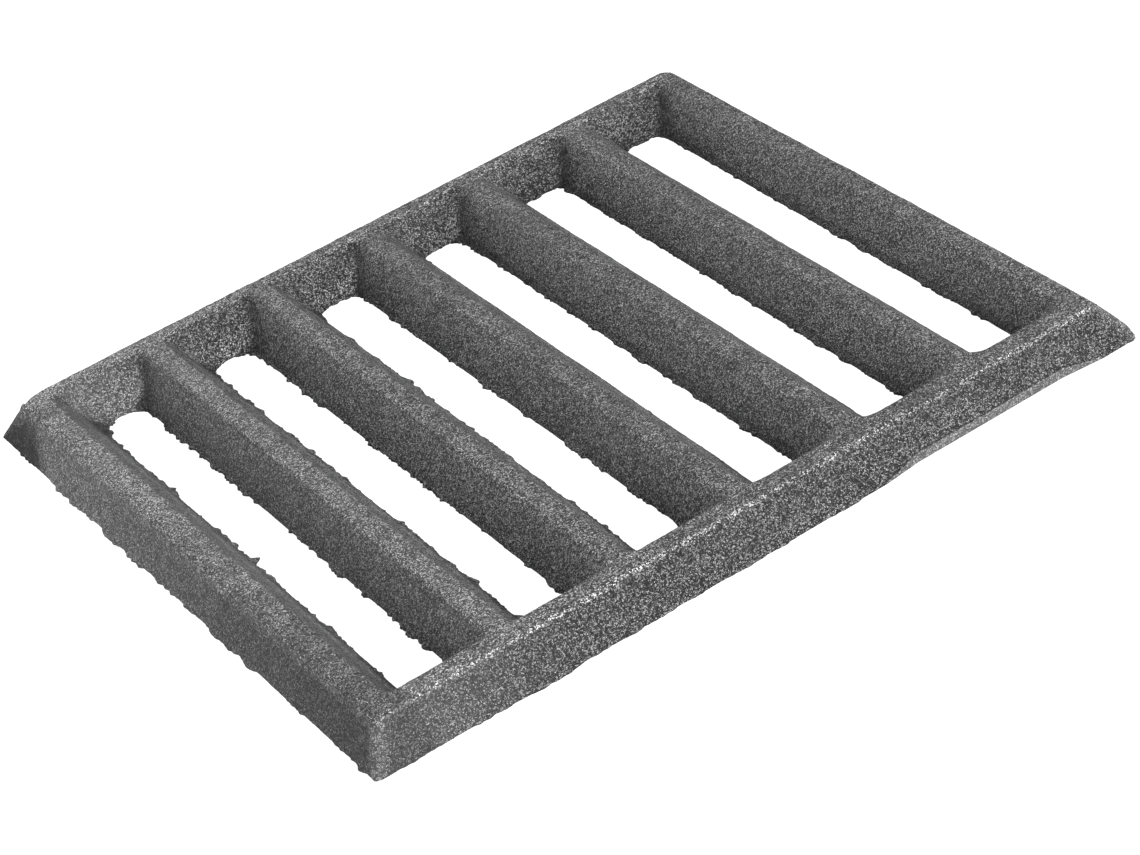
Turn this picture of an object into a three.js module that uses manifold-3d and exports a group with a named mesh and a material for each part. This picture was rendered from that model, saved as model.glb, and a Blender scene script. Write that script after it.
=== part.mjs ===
// A small cast-iron fire grate: one flat sand casting, a drafted rectangular frame crossed by bars.
// Millimetres, +Z up. The origin is at the centre of the base, X runs along the long side and the
// bars run along Y. The wide faces are at the base and the narrow crests of the ribs are on top.
//
// The casting is made the way its pattern is: a block whose outer walls lean in, less the slots,
// which widen upwards so that the pattern leaves the sand. It is then parted into its members
// (four rails and the bars), so that each member has its own name.

import * as THREE from 'three';
import { mergeVertices } from 'three/addons/utils/BufferGeometryUtils.js';
import Module from 'manifold-3d';

const wasm = await Module();
wasm.setup();

// ---- Driving dimensions ----

const LENGTH = 250;           // outside of the base, along X
const WIDTH = 229.5;          // outside of the base, along Y
const HEIGHT = 12;            // base to crest
const OUTER_LEAN = 7.3;       // how far the outer walls lean in from base to crest
const OUTER_CORNER = 3;       // plan radius of the frame's four corners
const CREST_ROUND = 1.5;      // radius on every crest edge

const BAR_COUNT = 5;
const BAR_PITCH = 38;         // middle of one bar to the middle of the next
const BARS_SHIFT = 0.65;      // the bars sit this much towards +X, so the right rail is thinner

const SLOT_WIDTH = 14;        // clear gap at the base, along X
const SLOT_LENGTH = 186;      // clear gap at the base, along Y
const SLOT_SIDE_LEAN = 9.1;   // how far each side wall of a slot opens out by the crest
const SLOT_FRONT_LEAN = 7.6;  // how far its front end wall opens out by the crest
const SLOT_BACK_LEAN = 9.6;   // how far its back end wall does
const SLOT_CORNER = 3;        // plan radius of a slot's corners at the base
const SLOT_CORNER_CREST = 4.4;

const PART_GAP = 0.3;         // gap between neighbouring members
const PART_INSET = 0.5;       // from the start of a slot's corner to the parting plane

const ARC_STEPS = 5;          // facets in a quarter turn of a plan corner
const ROUND_STEPS = 4;        // facets in the rounding of a crest edge
const OVERRUN = 2;            // how far cutting shapes run past what they cut
const WELD = 1e-4;            // corners closer than this are one corner

const CAST_IRON = { color: 0x626364, roughness: 0.78, metalness: 0.55 };

// ---- Sizes worked out from them ----

const SLOT_COUNT = BAR_COUNT + 1;
const PART_Y = SLOT_LENGTH / 2 - SLOT_CORNER - PART_INSET;

/** The middle of a slot along X, counted from the left rail. */
function slotCentre(index) {
  return BARS_SHIFT + (index - (SLOT_COUNT - 1) / 2) * BAR_PITCH;
}

// ---- The drafted walls ----

/** How far a wall has leaned back from its foot at height z, with its crest edge rounded. */
function leanAt(z, lean) {
  const slope = Math.atan2(lean, HEIGHT);
  const roundZ = HEIGHT - CREST_ROUND;
  const tangentZ = roundZ + CREST_ROUND * Math.sin(slope);
  if (z <= tangentZ) {
    return (lean * Math.max(z, 0)) / HEIGHT;
  }
  const angle = Math.asin(Math.min((z - roundZ) / CREST_ROUND, 1));
  const roundCentre = (lean * tangentZ) / HEIGHT + CREST_ROUND * Math.cos(slope);
  return roundCentre - CREST_ROUND * Math.cos(angle);
}

/** The heights of the levels that follow a wall of this lean, closest together on its rounding. */
function wallLevels(lean) {
  const slope = Math.atan2(lean, HEIGHT);
  const heights = [0];
  for (let step = 0; step <= ROUND_STEPS; step += 1) {
    const angle = slope + ((Math.PI / 2 - slope) * step) / ROUND_STEPS;
    heights.push(HEIGHT - CREST_ROUND + CREST_ROUND * Math.sin(angle));
  }
  return heights;
}

// ---- Lofts: a rounded square whose every level is moved to a rounded rectangle of its own ----

/** A square with corner centres at (±1, ±1) and corners of radius 1. */
function unitOutline() {
  const points = [];
  for (let quarter = 0; quarter < 4; quarter += 1) {
    const middle = new THREE.Vector2(1, 1).rotateAround(new THREE.Vector2(), (quarter * Math.PI) / 2);
    for (let step = 0; step <= ARC_STEPS; step += 1) {
      const angle = ((quarter + step / ARC_STEPS) * Math.PI) / 2;
      points.push(new THREE.Vector2(Math.cos(angle), Math.sin(angle)).add(middle));
    }
  }
  return new THREE.Shape(points);
}

/** One coordinate of the unit outline, moved to a side of this half size and corner radius. */
function stretch(value, half, radius) {
  const side = Math.sign(value);
  return side * (half - radius) + (value - side) * radius;
}

/** A closed solid through levels of { z, halfX, halfY, radius, shiftY }, from the bottom up. */
function loft(levels, centreX) {
  const last = levels.length - 1;
  const geometry = new THREE.ExtrudeGeometry(unitOutline(), { depth: last, steps: last, bevelEnabled: false });
  const position = geometry.attributes.position;
  for (let i = 0; i < position.count; i += 1) {
    const level = levels[Math.round(position.getZ(i))];
    const x = centreX + stretch(position.getX(i), level.halfX, level.radius);
    const y = level.shiftY + stretch(position.getY(i), level.halfY, level.radius);
    position.setXYZ(i, x, y, level.z);
  }
  return toManifold(geometry);
}

// ---- three.js geometry to a solid and back ----

function toManifold(geometry) {
  const bare = geometry.clone();
  bare.deleteAttribute('normal');
  bare.deleteAttribute('uv');
  const merged = mergeVertices(bare, WELD);
  const vertProperties = Float32Array.from(merged.attributes.position.array);
  const triVerts = Uint32Array.from(merged.index.array);
  return new wasm.Manifold(new wasm.Mesh({ numProp: 3, vertProperties, triVerts }));
}

function toGeometry(solid) {
  const mesh = solid.getMesh();
  const geometry = new THREE.BufferGeometry();
  geometry.setAttribute('position', new THREE.BufferAttribute(mesh.vertProperties, 3));
  geometry.setIndex(new THREE.BufferAttribute(mesh.triVerts, 1));
  geometry.computeVertexNormals();
  return geometry;
}

// ---- The casting ----

function outerBlock() {
  const levels = wallLevels(OUTER_LEAN).map((z) => ({
    z,
    halfX: LENGTH / 2 - leanAt(z, OUTER_LEAN),
    halfY: WIDTH / 2 - leanAt(z, OUTER_LEAN),
    radius: OUTER_CORNER,
    shiftY: 0,
  }));
  return loft(levels, 0);
}

/** What a slot takes away: it widens from base to crest and runs past both. */
function slotCutter(index) {
  const heights = [-OVERRUN, ...wallLevels(SLOT_SIDE_LEAN), HEIGHT + OVERRUN];
  const levels = heights.map((z) => {
    const rise = THREE.MathUtils.clamp(z / HEIGHT, 0, 1);
    const frontLean = leanAt(z, SLOT_FRONT_LEAN);
    const backLean = leanAt(z, SLOT_BACK_LEAN);
    return {
      z,
      halfX: SLOT_WIDTH / 2 + leanAt(z, SLOT_SIDE_LEAN),
      halfY: (SLOT_LENGTH + frontLean + backLean) / 2,
      radius: THREE.MathUtils.lerp(SLOT_CORNER, SLOT_CORNER_CREST, rise),
      shiftY: (backLean - frontLean) / 2,
    };
  });
  return loft(levels, slotCentre(index));
}

function makeCasting() {
  let casting = outerBlock();
  for (let index = 0; index < SLOT_COUNT; index += 1) {
    casting = casting.subtract(slotCutter(index));
  }
  return casting;
}

// ---- Its members ----

/** A box that holds one member, between two values of x and two of y. */
function memberRegion(x0, x1, y0, y1) {
  const box = new THREE.BoxGeometry(x1 - x0, y1 - y0, HEIGHT + 2 * OVERRUN);
  box.translate((x0 + x1) / 2, (y0 + y1) / 2, HEIGHT / 2);
  return toManifold(box);
}

/** Every member's name and the stretch of the casting that it takes. */
function memberRegions() {
  const endX = LENGTH / 2 + OVERRUN;
  const endY = WIDTH / 2 + OVERRUN;
  const barEnd = PART_Y - PART_GAP / 2;
  const railStart = PART_Y + PART_GAP / 2;
  const regions = {
    front_rail: memberRegion(-endX, endX, -endY, -railStart),
    back_rail: memberRegion(-endX, endX, railStart, endY),
    left_rail: memberRegion(-endX, slotCentre(0), -barEnd, barEnd),
    right_rail: memberRegion(slotCentre(SLOT_COUNT - 1), endX, -barEnd, barEnd),
  };
  for (let bar = 1; bar <= BAR_COUNT; bar += 1) {
    regions[`bar_${bar}`] = memberRegion(slotCentre(bar - 1), slotCentre(bar), -barEnd, barEnd);
  }
  return regions;
}

function makeGrate() {
  const casting = makeCasting();
  const grate = new THREE.Group();
  for (const [name, region] of Object.entries(memberRegions())) {
    const member = new THREE.Mesh(
      toGeometry(casting.intersect(region)),
      new THREE.MeshStandardMaterial(CAST_IRON),
    );
    member.name = name;
    grate.add(member);
  }
  return grate;
}

export default makeGrate();
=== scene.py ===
# %% [markdown]
# # A sand-cast iron fire grate
# A fire grate is the slotted plate that coal or wood lies on inside a stove. Ash falls through its
# slots and air rises through them. This one is a single flat casting in grey iron: a rectangular
# frame crossed by bars, all with leaning walls so that the wooden pattern could be drawn out of the
# sand. Two things make iron like this look real: soft, slightly wandering shapes, and the rough skin
# and ragged edges that the sand mould leaves behind. Both are modelled here as geometry, and only
# the finest grain is left to the material.

import math

import bmesh
import bpy
import numpy as np
from mathutils import Matrix, Vector, noise


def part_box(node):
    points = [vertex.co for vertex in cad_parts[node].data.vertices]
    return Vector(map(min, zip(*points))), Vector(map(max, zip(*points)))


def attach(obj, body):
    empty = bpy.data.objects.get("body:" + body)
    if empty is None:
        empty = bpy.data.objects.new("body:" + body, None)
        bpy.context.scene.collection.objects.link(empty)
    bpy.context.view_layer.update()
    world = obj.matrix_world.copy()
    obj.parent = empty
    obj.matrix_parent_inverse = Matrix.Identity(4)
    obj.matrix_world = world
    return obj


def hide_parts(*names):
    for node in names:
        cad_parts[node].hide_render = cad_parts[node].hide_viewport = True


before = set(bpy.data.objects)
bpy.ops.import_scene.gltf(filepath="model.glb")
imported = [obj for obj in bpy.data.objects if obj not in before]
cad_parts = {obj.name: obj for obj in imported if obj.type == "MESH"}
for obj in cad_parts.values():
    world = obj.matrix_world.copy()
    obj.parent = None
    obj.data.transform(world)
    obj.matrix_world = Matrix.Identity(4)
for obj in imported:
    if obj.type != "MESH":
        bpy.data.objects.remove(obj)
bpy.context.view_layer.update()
MM = 0.001
print("packed part:", sorted(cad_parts))

# %% [markdown]
# ## The camera
# The camera comes before anything else, so that every later choice can be judged in its view. A long
# lens keeps the bars nearly parallel. The camera looks down at the grate from its front left, and it
# is rolled, so the grate seems to climb towards the upper right.

# %% The camera
CAMERA_AZIMUTH = math.radians(24.5)
CAMERA_ELEVATION = math.radians(33.4)
CAMERA_ROLL = math.radians(-15.0)
CAMERA_DISTANCE = 1018.4 * MM
CAMERA_ASIDE = 6.9 * MM
CAMERA_ABOVE = -11.0 * MM
CAMERA_LENS_MM = 112.1


def make_camera():
    """A rolled view from the front left, aimed near the middle of the grate."""
    level = math.cos(CAMERA_ELEVATION)
    forward = Vector((
        level * math.sin(CAMERA_AZIMUTH),
        level * math.cos(CAMERA_AZIMUTH),
        -math.sin(CAMERA_ELEVATION),
    ))
    roll = Matrix.Rotation(CAMERA_ROLL, 3, -forward)
    right = roll @ forward.cross(Vector((0, 0, 1))).normalized()
    up = right.cross(forward)
    place = -forward * CAMERA_DISTANCE + right * CAMERA_ASIDE + up * CAMERA_ABOVE
    turn = Matrix((right, up, -forward)).transposed()
    data = bpy.data.cameras.new("camera")
    data.lens = CAMERA_LENS_MM
    data.sensor_width = 36.0
    camera = bpy.data.objects.new("camera", data)
    camera.matrix_world = Matrix.Translation(place) @ turn.to_4x4()
    bpy.context.scene.collection.objects.link(camera)
    bpy.context.scene.camera = camera
    return camera


camera = make_camera()
print("camera at", [round(value, 4) for value in camera.location])

# %% [markdown]
# ## One helper for materials
# Every material below is a small graph of nodes. One function adds a node, sets it up and links it,
# so that each material reads as a list of what it is made of.

# %% Adding a node
def add_node(tree, kind, settings=None, **inputs):
    """Adds a node with its settings. An input is a value or a socket; n6 means input number 6."""
    node = tree.nodes.new(kind)
    for name, value in (settings or {}).items():
        setattr(node, name, value)
    for name, value in inputs.items():
        key = int(name[1:]) if name[1:].isdigit() else name.replace("_", " ")
        if isinstance(value, bpy.types.NodeSocket):
            tree.links.new(value, node.inputs[key])
        else:
            node.inputs[key].default_value = value
    return node


print("helper ready:", add_node.__name__)

# %% [markdown]
# ## The floor and the light
# Small iron parts are often shown on a white table under large soft lamps. Rough dark metal shows its
# grain only where the light comes from somewhere in particular, so the room itself is dim and the
# lamps do the work. The table is a light table, which shows no shadows.

# %% The floor, the sky and the lamps
FLOOR_SIZE = 6.0
FLOOR_BOUNCE = (0.16, 0.16, 0.16, 1.0)
SKY_STRENGTH = 0.05
WHITE = 1.0
LAMP_DISTANCE = 1.3


def make_floor():
    """A light table: it glows white for the camera, and hardly lights the part."""
    mesh = bpy.data.meshes.new("floor")
    shape = bmesh.new()
    bmesh.ops.create_grid(shape, x_segments=1, y_segments=1, size=FLOOR_SIZE / 2)
    shape.to_mesh(mesh)
    shape.free()
    floor = bpy.data.objects.new("floor", mesh)
    bpy.context.scene.collection.objects.link(floor)
    paint = bpy.data.materials.new("light_table")
    paint.use_nodes = True
    tree = paint.node_tree
    ray = add_node(tree, "ShaderNodeLightPath")
    shader = tree.nodes["Principled BSDF"]
    shader.inputs["Base Color"].default_value = FLOOR_BOUNCE
    shader.inputs["Roughness"].default_value = 0.9
    shader.inputs["Specular IOR Level"].default_value = 0.1
    shader.inputs["Emission Color"].default_value = (1, 1, 1, 1)
    tree.links.new(ray.outputs["Is Camera Ray"], shader.inputs["Emission Strength"])
    mesh.materials.append(paint)
    return floor


def make_sky():
    """A dim room around a white backdrop."""
    sky = bpy.data.worlds.new("dim_room")
    sky.use_nodes = True
    tree = sky.node_tree
    ray = add_node(tree, "ShaderNodeLightPath")
    strength = add_node(
        tree, "ShaderNodeMapRange", Value=ray.outputs["Is Camera Ray"],
        To_Min=SKY_STRENGTH, To_Max=WHITE,
    )
    background = tree.nodes["Background"]
    background.inputs["Color"].default_value = (1, 1, 1, 1)
    tree.links.new(strength.outputs["Result"], background.inputs["Strength"])
    return sky


def make_lamp(name, azimuth, elevation, size, watts):
    """A square soft box on the ring round the grate, turned towards its middle."""
    level = LAMP_DISTANCE * math.cos(math.radians(elevation))
    turn = math.radians(azimuth)
    height = LAMP_DISTANCE * math.sin(math.radians(elevation))
    data = bpy.data.lights.new(name, "AREA")
    data.size = size
    data.energy = watts
    lamp = bpy.data.objects.new(name, data)
    lamp.location = (level * math.sin(turn), level * math.cos(turn), height)
    lamp.rotation_euler = (-lamp.location).to_track_quat("-Z", "Y").to_euler()
    bpy.context.scene.collection.objects.link(lamp)
    return lamp


floor = make_floor()
bpy.context.scene.world = make_sky()
bpy.context.scene.view_settings.view_transform = "Standard"
# Azimuth is clockwise from the back (+Y) and elevation is up from the table, both in degrees. Then
# come the side of the soft box in metres and its power in watts.
lamps = [
    make_lamp("front_lamp", 178, 12, 0.4, 49.0),
    make_lamp("left_lamp", 270, 22, 0.6, 29.5),
    make_lamp("right_lamp", 90, 12, 0.4, 26.0),
    make_lamp("back_lamp", 0, 12, 0.4, 7.5),
    make_lamp("high_lamp", 60, 60, 0.5, 10.0),
]
print("lamps:", [lamp.name for lamp in lamps])

# %% [markdown]
# ## The pattern's plan
# A foundry would cut the pattern for this grate as one block with slots. In a mesh the quickest start
# is a flat grid with one cell for each member and each slot: its lines slide to the real edges, and
# the slot cells are deleted. The bars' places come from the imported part. The slots run a little way
# into the long rails, past the ends of the bars as packed.

# %% The plan grid
BAR_COUNT = 5
SLOT_REACH = 3.65 * MM

bar_names = [f"bar_{number}" for number in range(1, BAR_COUNT + 1)]
across = [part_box(name) for name in ["left_rail", *bar_names, "right_rail"]]
front_low, front_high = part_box("front_rail")
back_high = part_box("back_rail")[1]
column_x = [corner.x for box in across for corner in box]
bar_end_y = across[1][1].y
row_y = [front_low.y, -bar_end_y - SLOT_REACH, bar_end_y + SLOT_REACH, back_high.y]
thickness = front_high.z
slot_middles = [(column_x[i] + column_x[i + 1]) / 2 for i in range(1, len(column_x) - 1, 2)]


def make_plan():
    """A grid whose lines lie on the edges of the members, with the slot cells left out."""
    plan = bmesh.new()
    columns, rows = len(column_x) - 1, len(row_y) - 1
    bmesh.ops.create_grid(plan, x_segments=columns, y_segments=rows, size=0.5)
    slots = []
    for face in plan.faces:
        middle = face.calc_center_median()
        column = int((middle.x + 0.5) * columns)
        row = int((middle.y + 0.5) * rows)
        if column % 2 == 1 and row == 1:
            slots.append(face)
    for corner in plan.verts:
        column = round((corner.co.x + 0.5) * columns)
        row = round((corner.co.y + 0.5) * rows)
        corner.co = (column_x[column], row_y[row], 0)
    bmesh.ops.delete(plan, geom=slots, context="FACES")
    return plan


casting = make_plan()
print("plan:", len(casting.faces), "cells,", len(slot_middles), "slots")

# %% [markdown]
# ## Thickness and draft
# The plan is extruded upwards, and each wall leans back as it rises: outer walls inwards, slot walls
# away from the slot. That lean is the draft. It is large here, 31 to 39 degrees from upright, because
# a grate's slots have to open out so that clinker can't jam. The slot walls aren't quite flat: they
# lean more near the crest than near the base, and from the third bar on, the walls that face right
# start nearly upright. So there are three extrusions, to the land, to the break and to the crest.

# %% Extruding and leaning the walls
OUTER_LEAN = 7.3 * MM
SLOT_SIDE_LEAN = 9.1 * MM
SLOT_FRONT_LEAN = 7.6 * MM
SLOT_BACK_LEAN = 9.6 * MM
LAND = 2.3 * MM
BREAK = 8.6 * MM
LEVELS = [LAND, BREAK, thickness]
# The share of its lean that a wall has at each of the three levels.
STRAIGHT = [LAND / thickness, BREAK / thickness, 1.0]
CURVED = [0.16, 0.65, 1.0]
UPRIGHT_FOOT = [0.04, 0.62, 1.0]

slot_count = len(slot_middles)
column_leans = [OUTER_LEAN, *[-SLOT_SIDE_LEAN, SLOT_SIDE_LEAN] * slot_count, -OUTER_LEAN]
row_leans = [OUTER_LEAN, -SLOT_FRONT_LEAN, SLOT_BACK_LEAN, -OUTER_LEAN]
column_walls = [STRAIGHT, *[CURVED] * 6, *[UPRIGHT_FOOT, CURVED] * 3, UPRIGHT_FOOT]
row_walls = [STRAIGHT, CURVED, CURVED, STRAIGHT]


def nearest(lines, place):
    return min(range(len(lines)), key=lambda index: abs(lines[index] - place))


def wall_place(place, lines, leans, walls, level):
    """Where the wall that starts at the nearest line stands, at the level with that number."""
    index = nearest(lines, place)
    return lines[index] + leans[index] * walls[index][level]


def raise_and_lean(shape):
    top = shape.faces[:]
    for level, height in enumerate(LEVELS):
        raised = bmesh.ops.extrude_face_region(shape, geom=top, use_keep_orig=level == 0)
        for part in raised["geom"]:
            if isinstance(part, bmesh.types.BMVert):
                x = wall_place(part.co.x, column_x, column_leans, column_walls, level)
                y = wall_place(part.co.y, row_y, row_leans, row_walls, level)
                part.co = (x, y, height)
        if level > 0:
            bmesh.ops.delete(shape, geom=top, context="FACES")
        top = [part for part in raised["geom"] if isinstance(part, bmesh.types.BMFace)]
    bmesh.ops.recalc_face_normals(shape, faces=shape.faces[:])


raise_and_lean(casting)
print("solid:", len(casting.verts), "corners, closed:", all(e.is_manifold for e in casting.edges))

# %% [markdown]
# ## Rounded corners
# Loose sand can't hold a sharp corner, so a slot is round where it was widest in the sand, at its
# base, and nearly sharp at the crest, where the sand was packed best. The back corners of the first
# slots are much rounder than the rest, as if clogged. Beveling the upright edges makes a fillet of the
# base's radius all the way up. Then every arc is shrunk towards its own sharp corner, more the higher
# it lies, which turns the fillet into a cone.

# %% Plan corners
FRAME_CORNERS = {
    # Where it is on the frame, and its radius at the base and at the crest.
    ("left", "front"): (2.0 * MM, 2.0 * MM),
    ("right", "front"): (3.0 * MM, 5.0 * MM),
    ("left", "back"): (2.5 * MM, 6.0 * MM),
    ("right", "back"): (3.2 * MM, 3.5 * MM),
}
FRONT_BASE_CORNER = 3.0 * MM
BACK_BASE_CORNERS = [5.6 * MM, 5.2 * MM, 4.2 * MM, 3.2 * MM, 2.4 * MM, 2.4 * MM]
FRONT_CREST_CORNERS = [1.6 * MM, 2.0 * MM, 2.4 * MM, 3.6 * MM, 4.2 * MM, 4.6 * MM]
BACK_CREST_CORNER = 1.5 * MM
CORNER_STEPS = 5
LEAST_RISE = 1.0 * MM
LEAST_CORNER = math.radians(30)


def corner_radii(place):
    """The radius at the base and at the crest of the corner nearest to a place."""
    column, row = nearest(column_x, place.x), nearest(row_y, place.y)
    if column in (0, len(column_x) - 1) or row in (0, len(row_y) - 1):
        return FRAME_CORNERS["right" if column else "left", "back" if row else "front"]
    slot = (column - 1) // 2
    if row == 1:
        return FRONT_BASE_CORNER, FRONT_CREST_CORNERS[slot]
    return BACK_BASE_CORNERS[slot], BACK_CREST_CORNER


def is_corner(edge):
    """An upright edge between two walls that meet at an angle."""
    rise = abs(edge.verts[0].co.z - edge.verts[1].co.z)
    return rise > LEAST_RISE and edge.calc_face_angle(0) > LEAST_CORNER


def sharp_corner(place):
    """Where the two walls nearest to a place would meet, at its height, without a fillet."""
    level = nearest([0, *LEVELS], place.z) - 1
    if level < 0:
        return Vector((column_x[nearest(column_x, place.x)], row_y[nearest(row_y, place.y)], place.z))
    x = wall_place(place.x, column_x, column_leans, column_walls, level)
    y = wall_place(place.y, row_y, row_leans, row_walls, level)
    return Vector((x, y, place.z))


def round_corners(shape):
    corners = [edge for edge in shape.edges if is_corner(edge)]
    radius_of = {edge: corner_radii(edge.verts[0].co)[0] for edge in corners}
    for radius in sorted(set(radius_of.values())):
        chosen = [edge for edge in corners if edge.is_valid and radius_of[edge] == radius]
        bmesh.ops.bevel(
            shape, geom=chosen, offset=radius, segments=CORNER_STEPS, profile=0.5,
            affect="EDGES", material=-1,
        )
    for corner in shape.verts:
        at_base, at_crest = corner_radii(corner.co)
        shrink = 1 + (at_crest / at_base - 1) * corner.co.z / thickness
        sharp = sharp_corner(corner.co)
        corner.co = sharp + (corner.co - sharp) * shrink
    return len(corners)


print("upright edges rounded:", round_corners(casting))

# %% [markdown]
# ## Crest edges
# The crests' edges are only slightly rounded on the slots, where the pattern was crisp, and a little
# more on the outside, where hands and sand have rubbed it.

# %% Crest edges
SLOT_EDGE = 0.45 * MM
OUTER_EDGE = 0.9 * MM
EDGE_STEPS = 3
OUTER_STRIP = 3.0 * MM
LEVEL_TOLERANCE = 0.01 * MM
LEAST_CREST_ANGLE = math.radians(20)


def is_outside(place):
    edge_x = column_x[-1] - OUTER_LEAN - OUTER_STRIP
    edge_y = row_y[-1] - OUTER_LEAN - OUTER_STRIP
    return abs(place.x) > edge_x or abs(place.y) > edge_y


def crest_edges(shape, outer):
    """The edges between the top and the outer walls, or between the top and the slots' walls."""
    chosen = []
    for edge in shape.edges:
        on_top = min(corner.co.z for corner in edge.verts) > thickness - LEVEL_TOLERANCE
        if not on_top or edge.calc_face_angle(0) < LEAST_CREST_ANGLE:
            continue
        if is_outside((edge.verts[0].co + edge.verts[1].co) / 2) == outer:
            chosen.append(edge)
    return chosen


def round_crests(shape):
    for outer, width in ((False, SLOT_EDGE), (True, OUTER_EDGE)):
        edges = crest_edges(shape, outer)
        bmesh.ops.bevel(
            shape, geom=edges, offset=width, segments=EDGE_STEPS, profile=0.5,
            affect="EDGES", material=-1,
        )
        print("crest edges rounded:", len(edges), "outer" if outer else "slot")


round_crests(casting)
print("blank:", len(casting.faces), "faces, closed:", all(e.is_manifold for e in casting.edges))

# %% [markdown]
# ## One even mesh
# The blank is a few hundred big faces. The sand skin needs small, even ones everywhere, also across
# the fillets, where hand-made loops would bunch up. A voxel remesh gives exactly that: it samples the
# solid on a fine lattice and rebuilds it as even quads. It would melt away thin details, so nothing
# thin has been modelled yet. Flash and grain come after it.

# %% Remeshing the blank
VOXEL = 0.46 * MM


def evaluated_mesh(thing):
    """A plain mesh of an object as its modifiers leave it."""
    graph = bpy.context.evaluated_depsgraph_get()
    return bpy.data.meshes.new_from_object(thing.evaluated_get(graph), depsgraph=graph)


def link(name, mesh):
    thing = bpy.data.objects.new(name, mesh)
    bpy.context.scene.collection.objects.link(thing)
    return thing


def remesh(shape):
    mesh = bpy.data.meshes.new("blank")
    shape.to_mesh(mesh)
    shape.free()
    blank = link("blank", mesh)
    lattice = blank.modifiers.new("even_quads", "REMESH")
    lattice.mode = "VOXEL"
    lattice.voxel_size = VOXEL
    even = evaluated_mesh(blank)
    bpy.data.objects.remove(blank)
    return even


skin_mesh = remesh(casting)
print("even mesh:", len(skin_mesh.polygons), "quads")

# %% [markdown]
# ## Wear, flash and burrs
# The rest of the shape is moved by hand, so to say: each of these steps pushes the even mesh's
# corners where a hand, shifting sand or stray iron would have left the surface. The left rail's outer
# crest edge is rubbed round, and the back rail is a little out of square. The flash is a thin ragged
# fin where the mould's two halves met, level with the base. Broad noise decides where it is wide or
# missing, and finer noise breaks it into scallops. A few single burrs are placed one by one.

# %% A rubbed edge and a skewed rail
RUBBED_RADIUS = 5.5 * MM
# The back rail's far side is out of square by 0.7 mm at 110 mm from the middle.
SKEW = 0.7 / 110


def mesh_arrays(mesh):
    places = np.empty(len(mesh.vertices) * 3, np.float32)
    normals = np.empty(len(mesh.vertices) * 3, np.float32)
    mesh.vertices.foreach_get("co", places)
    mesh.vertex_normals.foreach_get("vector", normals)
    return places.reshape(-1, 3), normals.reshape(-1, 3)


def put_back(mesh, places):
    mesh.vertices.foreach_set("co", places.astype(np.float32).ravel())
    mesh.update()


def rub_left_edge(places):
    """Pulls the edge between the left wall and the crest back to a circle that touches both."""
    slope = math.atan2(OUTER_LEAN, thickness)
    edge_x = column_x[0] + OUTER_LEAN
    inset = RUBBED_RADIUS * math.tan((math.pi / 2 - slope) / 2)
    centre = np.array([edge_x + inset, thickness - RUBBED_RADIUS])
    away = places[:, (0, 2)] - centre
    far = np.linalg.norm(away, axis=1)
    along_wall = away @ np.array([math.sin(slope), math.cos(slope)]) > 0
    outside = (far > RUBBED_RADIUS) & (away[:, 0] < 0) & along_wall
    places[outside[:, None] & np.array([True, False, True])] = (
        centre + away[outside] / far[outside, None] * RUBBED_RADIUS
    ).ravel()
    return int(outside.sum())


def skew_back_rail(places):
    """Turns the back rail's far side a little, so that the grate is deeper on its left."""
    share = np.clip((places[:, 1] - row_y[2]) / SLOT_BACK_LEAN, 0, 1)
    places[:, 1] -= share * places[:, 0] * SKEW
    return float(np.abs(share * places[:, 0] * SKEW).max())


places, _ = mesh_arrays(skin_mesh)
print("corners rubbed round:", rub_left_edge(places))
print("skew, mm:", round(skew_back_rail(places) / MM, 2))
put_back(skin_mesh, places)

# %% Flash and burrs
FIN_HEIGHT = 1.3 * MM
FIN_REACH = 1.0 * MM
FIN_AT_LEFT, FIN_LOSS_TO_RIGHT = 1.15, 0.45
OUTER_BAND = 3.0 * MM
OUTER_FIN = 0.85
OUTER_COARSENESS = 1.6
FRONT_FIN = 0.55
RIM_TILT = 0.25
FIN_LEAST = 0.15
FIN_WAVES = [
    # How much it counts, how long its waves are, and the seed of its noise.
    (0.9, 9.0 * MM, 1.5),
    (1.2, 2.8 * MM, 7.5),
    (0.65, 1.1 * MM, 3.5),
]
BURRS = [
    # x, y, how far it stands out, how wide it is, all in mm
    (-101.0, -5.0, 3.4, 1.7),
    (-101.0, 16.0, 1.2, 1.8),
    (-63.0, -62.0, 1.2, 2.2),
    (-63.0, -87.0, 1.8, 3.0),
    (-87.0, -68.0, 1.4, 1.8),
    (-74.0, -114.7, 0.9, 16.0),
]


def wave(place, size, seed):
    return noise.noise(Vector((place[0] / size, place[1] / size, seed)))


def fin_character(place):
    """How strong and how coarse the flash is: strongest in the slots on the left, coarser outside."""
    right_ward = (place[0] - column_x[0]) / (column_x[-1] - column_x[0])
    strength = FIN_AT_LEFT - FIN_LOSS_TO_RIGHT * right_ward
    if place[1] < row_y[0] + OUTER_BAND:
        return strength * FRONT_FIN, OUTER_COARSENESS
    if place[0] < column_x[0] + OUTER_BAND or place[1] > row_y[3] - OUTER_BAND:
        return strength * OUTER_FIN, OUTER_COARSENESS
    if place[0] > column_x[-1] - OUTER_BAND:
        return 0, OUTER_COARSENESS
    return strength, 1


def fin_reach(place):
    """How far the flash stands out at a place on the base's edge."""
    strength, coarseness = fin_character(place)
    ragged = FIN_LEAST
    for share, size, seed in FIN_WAVES:
        ragged += share * wave(place, size * coarseness, seed)
    reach = FIN_REACH * strength * max(ragged, 0)
    for x, y, out, width in BURRS:
        away = math.hypot(place[0] / MM - x, place[1] / MM - y) / width
        reach += out * MM * math.exp(-away * away * 2)
    return reach


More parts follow.
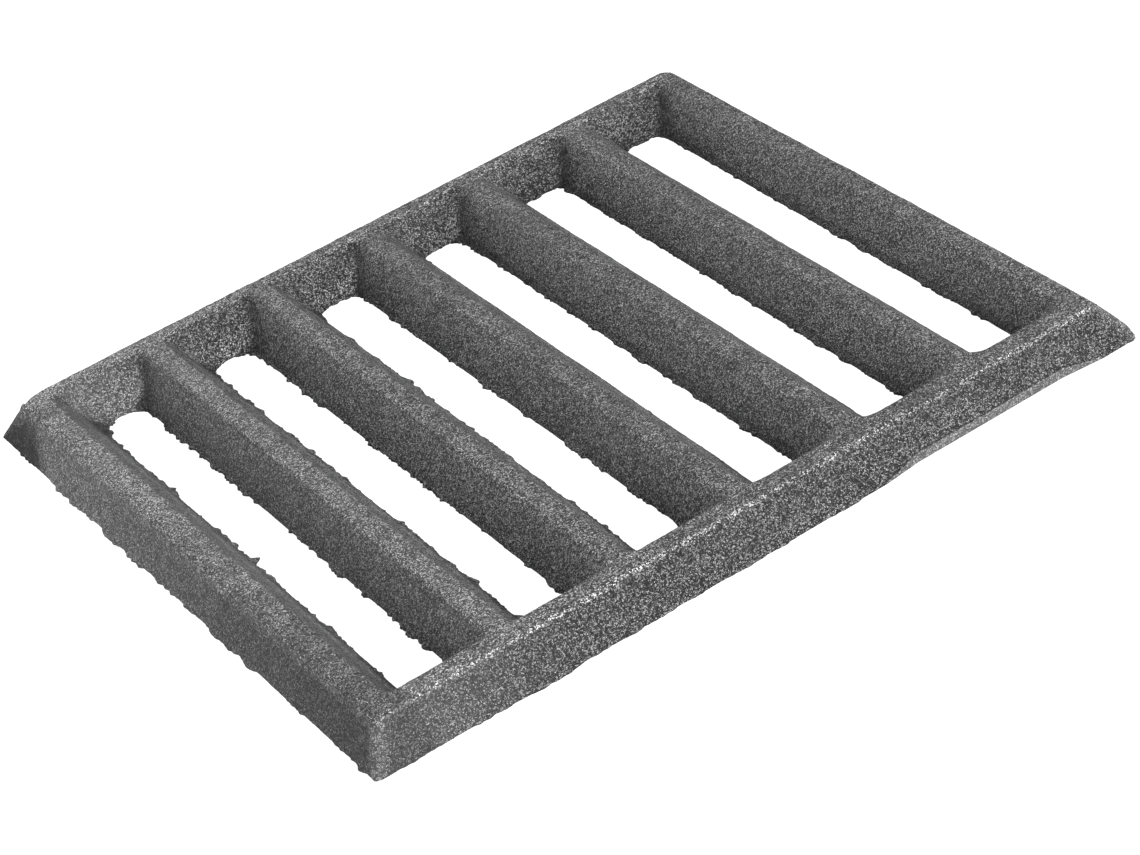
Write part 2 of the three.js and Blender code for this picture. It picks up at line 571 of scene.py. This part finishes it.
def add_flash(places, normals):
    sideways = np.linalg.norm(normals[:, :2], axis=1)
    rim = np.flatnonzero((places[:, 2] < FIN_HEIGHT) & (sideways > RIM_TILT))
    outward = normals[rim, :2] / sideways[rim, None]
    fade = 1 - np.clip(places[rim, 2] / FIN_HEIGHT, 0, 1) ** 2
    reach = np.array([fin_reach(place) for place in places[rim]])
    places[rim, :2] += outward * (reach * fade)[:, None]
    return reach


places, normals = mesh_arrays(skin_mesh)
reach = add_flash(places, normals)
put_back(skin_mesh, places)
print("flash: mean", round(float(reach.mean()) / MM, 2), "mm, most", round(float(reach.max()) / MM, 2))

# %% [markdown]
# ## The sand skin
# Three sizes of roughness lie on every face of a casting. The pattern and the rammed sand wander by
# a fraction of a millimetre over a few centimetres. The sand gives way in lumps some millimetres
# across. And every grain leaves its own print. Three Displace modifiers with procedural cloud
# textures make all three, and they are applied at once. The grain is a little coarser than real
# moulding sand, because a finer one would need a far heavier mesh; the finest is left to the material.
# Last of all, a stretch of the front wall's foot is ground upright, as a foundry takes flash off, so
# the grinder's facet is flat.

# %% Displacing the skin and grinding the foot
WANDER_SIZE = 26.0 * MM
WANDER_DEPTH = 0.50 * MM
LUMP_SIZE = 5.0 * MM
LUMP_DEPTH = 0.28 * MM
GRAIN_SIZE = 1.1 * MM
GRAIN_DEPTH = 0.30 * MM
GROUND_DEPTH = 1.6 * MM
GROUND_FROM_X = 35.0 * MM
GROUND_TO_X = 113.0 * MM
GROUND_RUN_OUT = 14.0 * MM


def add_roughness(thing, name, size, depth):
    cloud = bpy.data.textures.new(name, "CLOUDS")
    cloud.noise_basis = "IMPROVED_PERLIN"
    cloud.noise_scale = size
    cloud.noise_depth = 1
    skin = thing.modifiers.new(name, "DISPLACE")
    skin.texture = cloud
    skin.texture_coords = "LOCAL"
    skin.direction = "NORMAL"
    skin.mid_level = 0.5
    skin.strength = depth


def rest_on_floor(mesh):
    """The casting touches the floor with its high spots, so nothing is left below it."""
    places, _ = mesh_arrays(mesh)
    places[:, 2] = np.maximum(places[:, 2], 0)
    put_back(mesh, places)


def grind_front_foot(mesh):
    """Cuts the foot of the front wall upright. The cut runs out to nothing at both ends."""
    places, _ = mesh_arrays(mesh)
    from_left = (places[:, 0] - GROUND_FROM_X) / GROUND_RUN_OUT
    from_right = (GROUND_TO_X - places[:, 0]) / GROUND_RUN_OUT
    depth = GROUND_DEPTH * np.clip(np.minimum(from_left, from_right), 0, 1)
    ground = (depth > 0) & (places[:, 1] < row_y[0] + depth)
    places[ground, 1] = row_y[0] + depth[ground]
    put_back(mesh, places)
    return int(ground.sum())


def cast_skin(mesh):
    rough = link("rough_casting", mesh)
    add_roughness(rough, "wander", WANDER_SIZE, WANDER_DEPTH)
    add_roughness(rough, "lumps", LUMP_SIZE, LUMP_DEPTH)
    add_roughness(rough, "sand_grain", GRAIN_SIZE, GRAIN_DEPTH)
    finished = evaluated_mesh(rough)
    bpy.data.objects.remove(rough)
    rest_on_floor(finished)
    return finished


cast_mesh = cast_skin(skin_mesh)
print("skinned:", len(cast_mesh.vertices), "corners, of which ground:", grind_front_foot(cast_mesh))

# %% [markdown]
# ## Parting the casting into its members
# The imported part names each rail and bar, so each needs a mesh of its own. Cutting happens last, so
# that the skin runs straight across every joint. Each member is a copy of the whole, bisected at the
# planes where it meets its neighbours, and closed there with a flat cap. The caps' edges are marked
# sharp, because smooth shading would darken them into a seam.

# %% Cutting out the members
HALF_PACKED_GAP = 0.15 * MM
PARTING_Y = bar_end_y + HALF_PACKED_GAP
SNAP = 0.04 * MM


def member_planes():
    """For each member, the planes that bound it: a point and the direction that is cut away."""
    planes = {
        "front_rail": [((0, -PARTING_Y, 0), (0, 1, 0))],
        "back_rail": [((0, PARTING_Y, 0), (0, -1, 0))],
    }
    names = ["left_rail", *bar_names, "right_rail"]
    for index, name in enumerate(names):
        cuts = [((0, -PARTING_Y, 0), (0, -1, 0)), ((0, PARTING_Y, 0), (0, 1, 0))]
        if index > 0:
            cuts.append(((slot_middles[index - 1], 0, 0), (-1, 0, 0)))
        if index < len(slot_middles):
            cuts.append(((slot_middles[index], 0, 0), (1, 0, 0)))
        planes[name] = cuts
    return planes


def cut_member(whole, cuts):
    part = whole.copy()
    for point, outward in cuts:
        everything = part.verts[:] + part.edges[:] + part.faces[:]
        bmesh.ops.bisect_plane(
            part, geom=everything, dist=SNAP, plane_co=point, plane_no=outward,
            use_snap_center=True, clear_outer=True,
        )
        rim = [edge for edge in part.edges if edge.is_boundary]
        for cap in bmesh.ops.holes_fill(part, edges=rim, sides=0)["faces"]:
            cap.smooth = False
        for edge in rim:
            edge.smooth = False
    return part


def make_members(mesh):
    whole = bmesh.new()
    whole.from_mesh(mesh)
    for face in whole.faces:
        face.smooth = True
    made = {}
    for name, cuts in member_planes().items():
        part = cut_member(whole, cuts)
        member_mesh = bpy.data.meshes.new(f"cast_{name}")
        part.to_mesh(member_mesh)
        closed = all(edge.is_manifold for edge in part.edges)
        part.free()
        member = link(f"cast_{name}", member_mesh)
        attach(member, "root")
        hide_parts(name)
        made[name] = member
        print(f"cast_{name}:", len(member_mesh.polygons), "faces, closed:", closed)
    whole.free()
    return made


members = make_members(cast_mesh)

# %% [markdown]
# ## The iron
# The metal is sand-cast grey iron, as it left the mould: no paint and no machining. Its skin is
# oxide and burnt-on sand over iron full of graphite flakes, so it is dark, neutral in colour and
# rough, and only part of it answers like metal. What the eye notices is the grain. Each print of a
# sand grain is a little cup, so it is lighter or darker than its neighbours and it tilts the surface
# its own way. Cells of one print's size carry both. All patterns read Object coordinates, so they
# run on from one member to the next.

# %% The patterns of the grain
SAND_GRAIN = 0.38 * MM
FINE_GRAIN = 0.30 * MM
SMUDGE = 9.0 * MM

cast_iron = bpy.data.materials.new("sand_cast_grey_iron")
cast_iron.use_nodes = True
iron = cast_iron.node_tree
place = add_node(iron, "ShaderNodeTexCoord").outputs["Object"]
axis = add_node(iron, "ShaderNodeSeparateXYZ", Vector=place).outputs
# Broad smudges of thicker and thinner oxide.
smudge = add_node(
    iron, "ShaderNodeTexNoise", Vector=place, Scale=1 / SMUDGE, Detail=3.0, Roughness=0.6,
).outputs["Fac"]
# One cell for each print of a sand grain, with random numbers of its own.
cell = add_node(
    iron, "ShaderNodeTexVoronoi", {"feature": "F1"}, Vector=place, Scale=1 / SAND_GRAIN,
).outputs
cell_value = add_node(iron, "ShaderNodeSeparateColor", Color=cell["Color"]).outputs
fine = add_node(
    iron, "ShaderNodeTexNoise", Vector=place, Scale=1 / FINE_GRAIN, Detail=2.0, Roughness=0.7,
).outputs["Fac"]
print("prints:", SAND_GRAIN / MM, "mm, fine grain:", FINE_GRAIN / MM, "mm, smudges:", SMUDGE / MM, "mm")

# %% [markdown]
# ## Traces
# Over the grain lie the traces of the mould and of use, and painted light and shade. Each trace is a
# mask from 0 to 1, and each mask is a product of smooth steps: up or down along one axis, or with the
# distance from something. A step is written as its start and its end, and also its two levels where
# they aren't 0 and 1.

# %% Fading a mask in and out
traces = {}


def fade(tree, *steps, times=()):
    """The product of smooth steps (value, start, end, and perhaps two levels) and other factors."""
    factors = list(times)
    for value, start, end, *levels in steps:
        low, high = levels or (0.0, 1.0)
        step = add_node(
            tree, "ShaderNodeMapRange", {"interpolation_type": "SMOOTHSTEP"}, Value=value,
            From_Min=start, From_Max=end, To_Min=low, To_Max=high,
        )
        factors.append(step.outputs["Result"])
    product = factors[0]
    for factor in factors[1:]:
        both = add_node(tree, "ShaderNodeMath", {"operation": "MULTIPLY"}, n0=product, n1=factor)
        product = both.outputs["Value"]
    return product


print("helper ready:", fade.__name__)

# %% [markdown]
# ## Crests and edges
# The crests are lighter, in patches: partly as wear from coal, tongs and hands, and partly as painted
# light, which makes them lightest on the left and on the back rail. On the sharpest edges the oxide is
# gone, and painted highlights lie over that wear: a line along the front rail's outer edge is nearly
# bare metal with a painted glint, and the front left corner is bright. Off the crests the grain is
# fainter towards the left.

# %% Crests with painted light, the worn line and corner with painted highlights, and the faint grain
CREST_HEIGHTS = (thickness - 0.7 * MM, thickness - 0.3 * MM)
RUBBED_HEIGHTS = (8.5 * MM, 11.5 * MM)
RUBBED_X = (column_x[0] + OUTER_LEAN + 2.5 * MM, column_x[0] + OUTER_LEAN + 1.0 * MM)
CREST_LIGHT_FADE_X = (-110.0 * MM, 20.0 * MM, 1.0, 0.4)
BACK_RAIL_Y = (row_y[2] + 6.0 * MM, row_y[2] + 8.0 * MM)
PATCHES = (0.36, 0.56, 0.4, 1.0)
WEAR_AND_HIGHLIGHT_REACH = (1.4 * MM, 0.2 * MM)
WEAR_AND_HIGHLIGHT_FADE_X = (-60.0 * MM, 60.0 * MM, 1.0, 0.6)
CORNER_HIGHLIGHT_REACH = (column_x[0] + row_y[0] + 5.0 * MM, column_x[0] + row_y[0])
FAINT_X = (-118.0 * MM, -50.0 * MM, 0.65, 1.0)
CREST_GRAIN = 0.9

on_crest = add_node(
    iron, "ShaderNodeMath", {"operation": "MAXIMUM"}, n0=fade(iron, (axis["Z"], *CREST_HEIGHTS)),
    n1=fade(iron, (axis["Z"], *RUBBED_HEIGHTS), (axis["X"], *RUBBED_X)),
).outputs["Value"]
# Painted light: the crests' lightening is strongest on the left and on the back rail, and falls to 0.4
# towards the right.
crest_light_strength = add_node(
    iron, "ShaderNodeMath", {"operation": "MAXIMUM"}, n0=fade(iron, (axis["X"], *CREST_LIGHT_FADE_X)),
    n1=fade(iron, (axis["Y"], *BACK_RAIL_Y)),
).outputs["Value"]
traces["crest"] = fade(iron, (smudge, *PATCHES), times=(on_crest, crest_light_strength))
# The front rail's outer crest edge is a line along X, so only Y and Z count towards it.
upright_plane = add_node(
    iron, "ShaderNodeVectorMath", {"operation": "MULTIPLY"}, n0=place, n1=(0, 1, 1),
)
from_edge = add_node(
    iron, "ShaderNodeVectorMath", {"operation": "DISTANCE"}, n0=upright_plane.outputs["Vector"],
    n1=(0, row_y[0] + OUTER_LEAN, thickness),
).outputs["Value"]
# A lighter line along the front rail's outer crest edge: worn bare metal, with a painted highlight that
# stands in for the edge's glint and fades towards the right.
traces["wear_and_highlight"] = fade(
    iron, (from_edge, *WEAR_AND_HIGHLIGHT_REACH), (smudge, *PATCHES), (axis["X"], *WEAR_AND_HIGHLIGHT_FADE_X),
)
# How far it is from the upright edge at the front left, along either wall.
from_corner = add_node(
    iron, "ShaderNodeVectorMath", {"operation": "DOT_PRODUCT"}, n0=place,
    n1=(1, 1, -2 * OUTER_LEAN / thickness),
).outputs["Value"]
# The front left corner's upright edge is lighter: partly wear, partly a painted highlight.
traces["corner"] = fade(iron, (from_corner, *CORNER_HIGHLIGHT_REACH))
grainy = add_node(
    iron, "ShaderNodeMath", {"operation": "MAXIMUM"}, n0=fade(iron, times=(on_crest, CREST_GRAIN)),
    n1=fade(iron, (axis["X"], *FAINT_X)),
).outputs["Value"]
print("traces:", list(traces))

# %% [markdown]
# ## The left rail
# The left rail is darker towards the front, with painted shade. Towards the back its outer wall is
# paler, with painted light.

# %% Painted shade towards the front and painted light on the outer wall
PAINTED_SHADE_Y = (-110.0 * MM, 0.0, 0.62, 1.0)
PAINTED_SHADE_X = (column_x[1] - 8.0 * MM, column_x[1] - 4.0 * MM)
LEFT_WALL_X = (column_x[0] + 6.6 * MM, column_x[0] + 5.4 * MM)
PALE_LIGHT_Y = (-40.0 * MM, 100.0 * MM)

# Painted shade: the left rail's colour is multiplied down to 0.62 towards the front.
left_rail_shade = add_node(
    iron, "ShaderNodeMath", {"operation": "MAXIMUM"}, n0=fade(iron, (axis["Y"], *PAINTED_SHADE_Y)),
    n1=fade(iron, (axis["X"], *PAINTED_SHADE_X)),
).outputs["Value"]
# Painted light: the left rail's outer wall is paler towards the back.
traces["pale_light"] = fade(iron, (axis["X"], *LEFT_WALL_X), (axis["Y"], *PALE_LIGHT_Y))
print("traces:", list(traces))

# %% [markdown]
# ## Painted light and shade in the slots
# The first slot's back end has a paler egg-shaped patch of painted light. The bars' feet on the
# right are darkened with painted shade, and the walls that face right are paler towards their feet
# with painted light, as are the sills at the slots' back ends. Painted shade darkens the nooks where
# the walls that face left meet the back wall. The sill and nook masks have no end at the rails'
# crests. So they also tone the back rail's outer wall, in dark patches and a paler foot, and the nook
# mask darkens the back end of the left rail's outer wall. More steps in X and Y would keep them inside
# the slots.

# %% Masks in the slots
SLOT_PITCH = slot_middles[1] - slot_middles[0]
HALF_SLOT = (column_x[2] - column_x[1]) / 2
LIGHT_PATCH_MIDDLE = (slot_middles[0], row_y[2] + SLOT_BACK_LEAN / 2, thickness / 2)
LIGHT_PATCH_REACH = (15.0 * MM, 8.0 * MM, 11.0 * MM)
LIGHT_PATCH_EDGE = (1.0, 0.6)
SLOTS_Y = (row_y[1] - 2.0 * MM, row_y[1])
FOOT_HEIGHTS = (LAND + 0.3 * MM, LAND - 0.1 * MM)
FOOT_X = (-20.0 * MM, 10.0 * MM)
FACES_RIGHT = (-4.0 * MM, -6.0 * MM)
RIGHT_WALL_LIGHT_Y = (88.0 * MM, 70.0 * MM)
RIGHT_WALL_LIGHT_HEIGHTS = (10.5 * MM, 6.0 * MM)
SILL_Y = (row_y[2] - 1.0 * MM, row_y[2] + 0.5 * MM)
SILL_HEIGHTS = (9.0 * MM, 2.5 * MM)
SILL_FADE_X = (-70.0 * MM, 60.0 * MM, 1.0, 0.2)
NOOK_X = (HALF_SLOT - 2.5 * MM, HALF_SLOT)
NOOK_Y = (row_y[2] - 12.0 * MM, row_y[2] - 2.0 * MM)
NOOK_HEIGHTS = (11.2 * MM, 8.5 * MM)

# The patch of painted light is egg-shaped: its reach differs along each axis.
from_light_patch = add_node(
    iron, "ShaderNodeVectorMath", {"operation": "SUBTRACT"}, n0=place, n1=LIGHT_PATCH_MIDDLE,
)
in_reaches = add_node(
    iron, "ShaderNodeVectorMath", {"operation": "DIVIDE"}, n0=from_light_patch.outputs["Vector"],
    n1=LIGHT_PATCH_REACH,
)
egg = add_node(
    iron, "ShaderNodeVectorMath", {"operation": "LENGTH"}, n0=in_reaches.outputs["Vector"],
).outputs["Value"]
# Painted light: a paler patch on the first slot's back end.
traces["light_patch"] = fade(iron, (egg, *LIGHT_PATCH_EDGE))
# Painted shade: the bars' feet on the right are darker.
traces["foot"] = fade(
    iron, (axis["Z"], *FOOT_HEIGHTS), (axis["Y"], *SLOTS_Y), (axis["X"], *FOOT_X),
)
# X from the middle of the nearest slot, the same in every slot.
from_first = add_node(
    iron, "ShaderNodeMath", {"operation": "SUBTRACT"}, n0=axis["X"], n1=slot_middles[0],
)
from_slot = add_node(
    iron, "ShaderNodeMath", {"operation": "WRAP"}, n0=from_first.outputs["Value"],
    n1=SLOT_PITCH / 2, n2=-SLOT_PITCH / 2,
).outputs["Value"]
# Painted light: the walls that face right are paler towards their feet.
traces["right_wall_light"] = fade(
    iron, (from_slot, *FACES_RIGHT), (axis["Y"], *RIGHT_WALL_LIGHT_Y), (axis["Y"], *SLOTS_Y),
    (axis["Z"], *RIGHT_WALL_LIGHT_HEIGHTS),
)
# Painted light: the sills at the slots' back ends are paler, less so towards the right.
traces["sill_light"] = fade(
    iron, (axis["Y"], *SILL_Y), (axis["Z"], *SILL_HEIGHTS), (axis["X"], *SILL_FADE_X),
)
# A nook's line leans like both of its walls, so the height counts towards X and Y.
nook_x = add_node(
    iron, "ShaderNodeMath", {"operation": "MULTIPLY_ADD"}, n0=axis["Z"],
    n1=-SLOT_SIDE_LEAN / thickness, n2=from_slot,
).outputs["Value"]
nook_y = add_node(
    iron, "ShaderNodeMath", {"operation": "MULTIPLY_ADD"}, n0=axis["Z"],
    n1=-SLOT_BACK_LEAN / thickness, n2=axis["Y"],
).outputs["Value"]
# Painted shade: the nooks where the walls that face left meet the back wall are darker.
traces["nook_shade"] = fade(iron, (nook_x, *NOOK_X), (nook_y, *NOOK_Y), (axis["Z"], *NOOK_HEIGHTS))
print("traces:", list(traces))

# %% [markdown]
# ## The ground facet
# Grinding cuts through the prints and leaves brighter metal, which soon dulls. The facet lies at the
# depth of the cut, so its mask is worked out from the values of the cut, and it runs out to nothing at
# both ends as the cut does. A thin dark line borders it on top.

# %% Masks on the front wall's foot
FACET_SKIN = (0.12 * MM, 0.04 * MM)
FACET_BORDER = (0.50 * MM, 0.25 * MM)
FACET_LEAST = 0.1 * MM

cut_ends = [(GROUND_FROM_X, GROUND_RUN_OUT), (GROUND_TO_X, -GROUND_RUN_OUT)]
cuts_y = [
    add_node(
        iron, "ShaderNodeMapRange", Value=axis["X"], From_Min=end, From_Max=end + run_out,
        To_Min=row_y[0], To_Max=row_y[0] + GROUND_DEPTH,
    ).outputs["Result"]
    for end, run_out in cut_ends
]
facet = add_node(
    iron, "ShaderNodeMath", {"operation": "MINIMUM"}, n0=cuts_y[0], n1=cuts_y[1],
).outputs["Value"]
from_facet = add_node(
    iron, "ShaderNodeMath", {"operation": "SUBTRACT"}, n0=axis["Y"], n1=facet,
).outputs["Value"]
is_cut = add_node(
    iron, "ShaderNodeMath", {"operation": "GREATER_THAN"}, n0=facet, n1=row_y[0] + FACET_LEAST,
).outputs["Value"]
traces["beside"] = fade(iron, (from_facet, *FACET_BORDER), times=[is_cut])
traces["ground"] = fade(iron, (from_facet, *FACET_SKIN), times=[is_cut])
print("traces:", list(traces))

# %% [markdown]
# ## Colour, shine and relief
# The oxide's colour is nearly black, and each trace is mixed over it in turn. The grain multiplies
# the result: most prints are dull and a few are bright. Facets of bare metal glint, so the roughness
# varies from print to print. The prints' relief is too fine for the mesh, so two bumps carry it. The
# ground facet has lost part of its grain and relief.

# %% Putting the iron together
THIN_OXIDE, THICK_OXIDE = "#4a4a4a", "#404040"
OXIDE_TONES = (0.3, 0.7)
# Of these, the crests' lightening on the left and back and the highlights on the worn line and the
# corner are partly painted light; the pale left wall, the first slot's patch and the pale walls and
# sills in the slots are painted light; the bars' feet and the nooks are painted shade.
TRACE_COLOURS = {
    "crest": "#626262", "wear_and_highlight": "#7a7a7a", "pale_light": "#5c5c5c", "light_patch": "#585858",
    "corner": "#686868", "foot": "#363636", "right_wall_light": "#606060", "sill_light": "#646464",
    "nook_shade": "#242424", "beside": "#2c2c2c", "ground": "#5e5e5e",
}
BRIGHT_RARITY = 2.0
PRINT_LEVELS = (0.0, 1.0, 0.1, 3.4)
PIT_LEVELS = (0.40, 0.60, 0.05, 1.35)
GROUND_LOSS = 0.4
GLINT_FROM = 0.7
DULL, SHINY = 0.62, 0.36
METALLIC = 0.55
PRINT_RELIEF = 0.34 * MM
FINE_RELIEF = 0.38 * MM


def linear(hex_colour):
    """An sRGB hex colour as the linear colour that shaders use."""
    channels = [int(hex_colour[i:i + 2], 16) / 255 for i in (1, 3, 5)]
    bright = [c / 12.92 if c <= 0.04045 else ((c + 0.055) / 1.055) ** 2.4 for c in channels]
    return (*bright, 1.0)


tone = add_node(
    iron, "ShaderNodeMapRange", Value=smudge, From_Min=OXIDE_TONES[0], From_Max=OXIDE_TONES[1],
)
colour = add_node(
    iron, "ShaderNodeMix", {"data_type": "RGBA"}, n0=tone.outputs["Result"],
    n6=linear(THICK_OXIDE), n7=linear(THIN_OXIDE),
)
for trace, trace_colour in TRACE_COLOURS.items():
    colour = add_node(
        iron, "ShaderNodeMix", {"data_type": "RGBA"}, n0=traces[trace],
        n6=colour.outputs[2], n7=linear(trace_colour),
    )
rare = add_node(
    iron, "ShaderNodeMath", {"operation": "POWER"}, n0=cell_value["Red"], n1=BRIGHT_RARITY,
).outputs["Value"]
not_ground = add_node(
    iron, "ShaderNodeMath", {"operation": "MULTIPLY_ADD"}, n0=traces["ground"], n1=-GROUND_LOSS, n2=1.0,
).outputs["Value"]
skinned = fade(iron, times=(grainy, not_ground))
grained = add_node(
    iron, "ShaderNodeMix", {"data_type": "RGBA", "blend_type": "MULTIPLY"}, n0=skinned,
    n6=colour.outputs[2], n7=fade(iron, (rare, *PRINT_LEVELS), (fine, *PIT_LEVELS)),
)
# Painted shade: the colour is multiplied down towards the left rail's front.
shaded = add_node(
    iron, "ShaderNodeMix", {"data_type": "RGBA", "blend_type": "MULTIPLY"}, n0=1.0,
    n6=grained.outputs[2], n7=left_rail_shade,
)
glint = add_node(
    iron, "ShaderNodeMapRange", Value=cell_value["Green"],
    From_Min=GLINT_FROM, From_Max=1.0, To_Min=DULL, To_Max=SHINY,
)
print_relief = add_node(
    iron, "ShaderNodeBump", Strength=skinned, Distance=PRINT_RELIEF, Height=cell["Distance"],
)
relief = add_node(
    iron, "ShaderNodeBump", Strength=skinned, Distance=FINE_RELIEF, Height=fine,
    Normal=print_relief.outputs["Normal"],
)
shader = iron.nodes["Principled BSDF"]
shader.inputs["Metallic"].default_value = METALLIC
iron.links.new(shaded.outputs[2], shader.inputs["Base Color"])
iron.links.new(glint.outputs["Result"], shader.inputs["Roughness"])
iron.links.new(relief.outputs["Normal"], shader.inputs["Normal"])
for member in members.values():
    member.data.materials.append(cast_iron)
print("material:", cast_iron.name, "with", len(iron.nodes), "nodes, on", len(members), "members")
